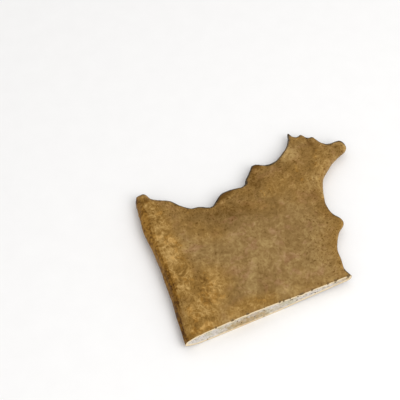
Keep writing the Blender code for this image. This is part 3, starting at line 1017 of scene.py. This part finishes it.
tones = []
for parts in PATTERNS:
    tone = MIDDLE_TONE
    for part, part_share in parts:
        terms = {0: fields[part], 1: part_share, 2: tone}
        tone = add(tree, "ShaderNodeMath", terms, operation="MULTIPLY_ADD")
    tones.append(tone)
light = add(tree, "ShaderNodeMix", {0: fields["handled"], 2: tones[0], 3: tones[1]}, data_type="FLOAT")
for part, part_share in LIGHTNESS:
    terms = {0: fields[part], 1: part_share, 2: light}
    light = add(tree, "ShaderNodeMath", terms, operation="MULTIPLY_ADD")
print("lightness adds up", sum(map(len, PATTERNS)) + len(LIGHTNESS), "numbers")

# %% [markdown]
# ## The skin's finish: its colours
# Each kind of bone has a dark, a middle and a light brown, which the lightness picks from. Dry bone
# comes first. Over it lie the rosy tinge of old blood, the wax and its amber patches, the furrowed side
# that was rubbed on bark, the dark browns of the rim's painted shade, and the dirt in the nicks.

# %% Colour the skin
# How light the bone is where it takes the dark, the middle and the light brown of its kind.
DARK, MIDDLE, LIGHT = 0.0, 0.5, 1.05
NICK_DIRT = "6A5433"
BROWNS = {
    "dry": ("5D400C", "886A3C", "B59963"),
    "waxed": ("634106", "8F6B30", "BE995C"),
    "rosy": ("65400F", "8D6A43", "B6966A"),
    "amber": ("664004", "926928", "C09756"),
    "bark": ("482800", "775112", "A17632"),
    # The dark browns of the rim's painted shade.
    "painted_rim_shade": ("2E220F", "42331B", "6A5230"),
}

range_of = {}
for name, (dark, middle, pale) in BROWNS.items():
    shade = colour(dark)
    for low, high, code in ((DARK, MIDDLE, middle), (MIDDLE, LIGHT, pale)):
        limits = {"Value": light, "From Min": low, "From Max": high}
        mixed = {0: add(tree, "ShaderNodeMapRange", limits), 6: shade, 7: colour(code)}
        shade = add(tree, "ShaderNodeMix", mixed, output=2, data_type="RGBA")
    range_of[name] = shade

# What is laid over the dry bone, from the lowest up: where it is, and its colour.
LAYERS = (
    ("rosy", range_of["rosy"]),
    ("golden", range_of["waxed"]),
    ("amber", range_of["amber"]),
    ("barky", range_of["bark"]),
    # The rim's painted shade.
    ("painted_rim_shade", range_of["painted_rim_shade"]),
    ("torn", colour(NICK_DIRT)),
)
brown = range_of["dry"]
for name, over in LAYERS:
    brown = add(tree, "ShaderNodeMix", {0: fields[name], 6: brown, 7: over}, output=2, data_type="RGBA")
tree.links.new(brown, shader.inputs["Base Color"])
print("over dry bone lie", ", ".join(name for name, _ in LAYERS))

# %% [markdown]
# ## The skin's finish: its sheen
# Rubbed bone is dull with a trace of wax: its index is that of bone, 1.55, and it is a little smoother
# where it is golden. A fine bump carries the grain that is too small for the mesh.

# %% Give the skin its sheen and its finest grain
ROUGH_DRY = 0.62
ROUGH_WAXED = -0.10
FINE_DEPTH = 0.08 * MM
FINE_STRENGTH = 0.22
BONE_INDEX = 1.55
SKIN_SPECULAR = 0.12

waxiness = {0: fields["golden"], 1: ROUGH_WAXED, 2: ROUGH_DRY}
roughness = add(tree, "ShaderNodeMath", waxiness, operation="MULTIPLY_ADD")
tree.links.new(roughness, shader.inputs["Roughness"])
fine_height = add(tree, "ShaderNodeMath", {0: fields["grain"], 1: fields["fleck"]}, operation="ADD")
bumps = {"Height": fine_height, "Strength": FINE_STRENGTH, "Distance": FINE_DEPTH}
tree.links.new(add(tree, "ShaderNodeBump", bumps), shader.inputs["Normal"])
shader.inputs["IOR"].default_value = BONE_INDEX
shader.inputs["Specular IOR Level"].default_value = SKIN_SPECULAR
print("roughness:", ROUGH_DRY, "where dry,", round(ROUGH_DRY + ROUGH_WAXED, 2), "where golden")

# %% [markdown]
# ## The sawn bone's finish
# Fresh sawn antler is nearly white: cream in its dense rind, and paler and greyer in the spongy core,
# which is darker in its pores. Part of the core is soaked light brown by old marrow, most of all low down,
# and the rind below that part is tanned. Chips are dark with old dirt, and a thin brown line of skin
# runs round the outline. The face is dry and quite matt.

# %% Make the finish of the sawn face
IVORY = "CDC7C2"
SAWN_DEPTH = 0.05 * MM
SAWN_STRENGTH = 0.4
SAWN_SPECULAR = 0.3
SAWN_ROUGHNESS = 0.75

# Name and size in mm.
SAWN_NOISES = (("cloud", 7.0), ("ragged", 2.2), ("dust", 0.9))
# A measure made ragged by a share of a noise, or of a measure made before it: the new measure's name,
# the old measure, what makes it ragged, and the share.
RAGGED_MEASURES = (
    ("ragged_gap", "rind_gap", "ragged", 1.8),
    ("blotched", "soaked", "ragged", 1.5),
    ("tanned", "soaked", "ragged_gap", -0.3),
    ("chipped", "torn", "dust", 0.9),
)

sawn_bone, tree, shader = new_material("fresh_sawn_antler")
object_place = add(tree, "ShaderNodeTexCoord", {}, output="Object")
in_mm = add(tree, "ShaderNodeVectorMath", {0: object_place, "Scale": 1.0 / MM}, operation="SCALE")
noises = {}
for name, size in SAWN_NOISES:
    settings = {"Vector": in_mm, "Scale": 1.0 / size, "Detail": NOISE_DETAIL}
    field = add(tree, "ShaderNodeTexNoise", settings)
    noises[name] = add(tree, "ShaderNodeMath", {0: field, 1: NOISE_MIDDLE}, operation="SUBTRACT")
for name in sawn_measures:
    noises[name] = add(tree, "ShaderNodeAttribute", {}, output="Fac", attribute_name=name)
for name, measure, field, part_share in RAGGED_MEASURES:
    ragged = {0: noises[field], 1: part_share, 2: noises[measure]}
    noises[name] = add(tree, "ShaderNodeMath", ragged, operation="MULTIPLY_ADD")

# What is laid over what: its measure, where it starts and where it is full, and its colour.
SAWN_LAYERS = (
    ("cloud", -0.04, 0.14, "C0BAA6"),
    ("dust", 0.02, 0.2, "DED7CC"),
    ("blotched", 0.0, 1.15, "AA8E60"),
    # Darker in the pores.
    ("rise", -0.05, -0.25, "958867"),
    ("ragged_gap", 2.3, 0.8, "E4D0AB"),
    ("tanned", 0.4, 1.0, "CDA97C"),
    ("chipped", 0.2, 0.6, "6C5A3B"),
    ("rind_gap", 0.16, 0.05, "8B6E40"),
)
ivory = colour(IVORY)
for name, low, high, code in SAWN_LAYERS:
    limits = {"Value": noises[name], "From Min": low, "From Max": high}
    cover = add(tree, "ShaderNodeMapRange", limits, interpolation_type="SMOOTHSTEP")
    ivory = add(tree, "ShaderNodeMix", {0: cover, 6: ivory, 7: colour(code)}, output=2, data_type="RGBA")
tree.links.new(ivory, shader.inputs["Base Color"])
dusty = {"Height": noises["dust"], "Strength": SAWN_STRENGTH, "Distance": SAWN_DEPTH}
tree.links.new(add(tree, "ShaderNodeBump", dusty), shader.inputs["Normal"])
shader.inputs["IOR"].default_value = BONE_INDEX
shader.inputs["Specular IOR Level"].default_value = SAWN_SPECULAR
shader.inputs["Roughness"].default_value = SAWN_ROUGHNESS

mesh.materials.append(skin)
mesh.materials.append(sawn_bone)
print("materials:", [material.name for material in mesh.materials])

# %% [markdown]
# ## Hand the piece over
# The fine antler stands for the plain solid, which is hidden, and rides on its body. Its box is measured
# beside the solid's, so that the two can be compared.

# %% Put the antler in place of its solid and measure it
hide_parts("antler_chew")
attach(antler, "root")
visual_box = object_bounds()
sizes = {"solid": [list(corner) for corner in solid_box], "visual": [list(corner) for corner in visual_box]}
for name, (low, high) in sizes.items():
    print(name, "box in mm:", [round((b - a) / MM, 2) for a, b in zip(low, high)])
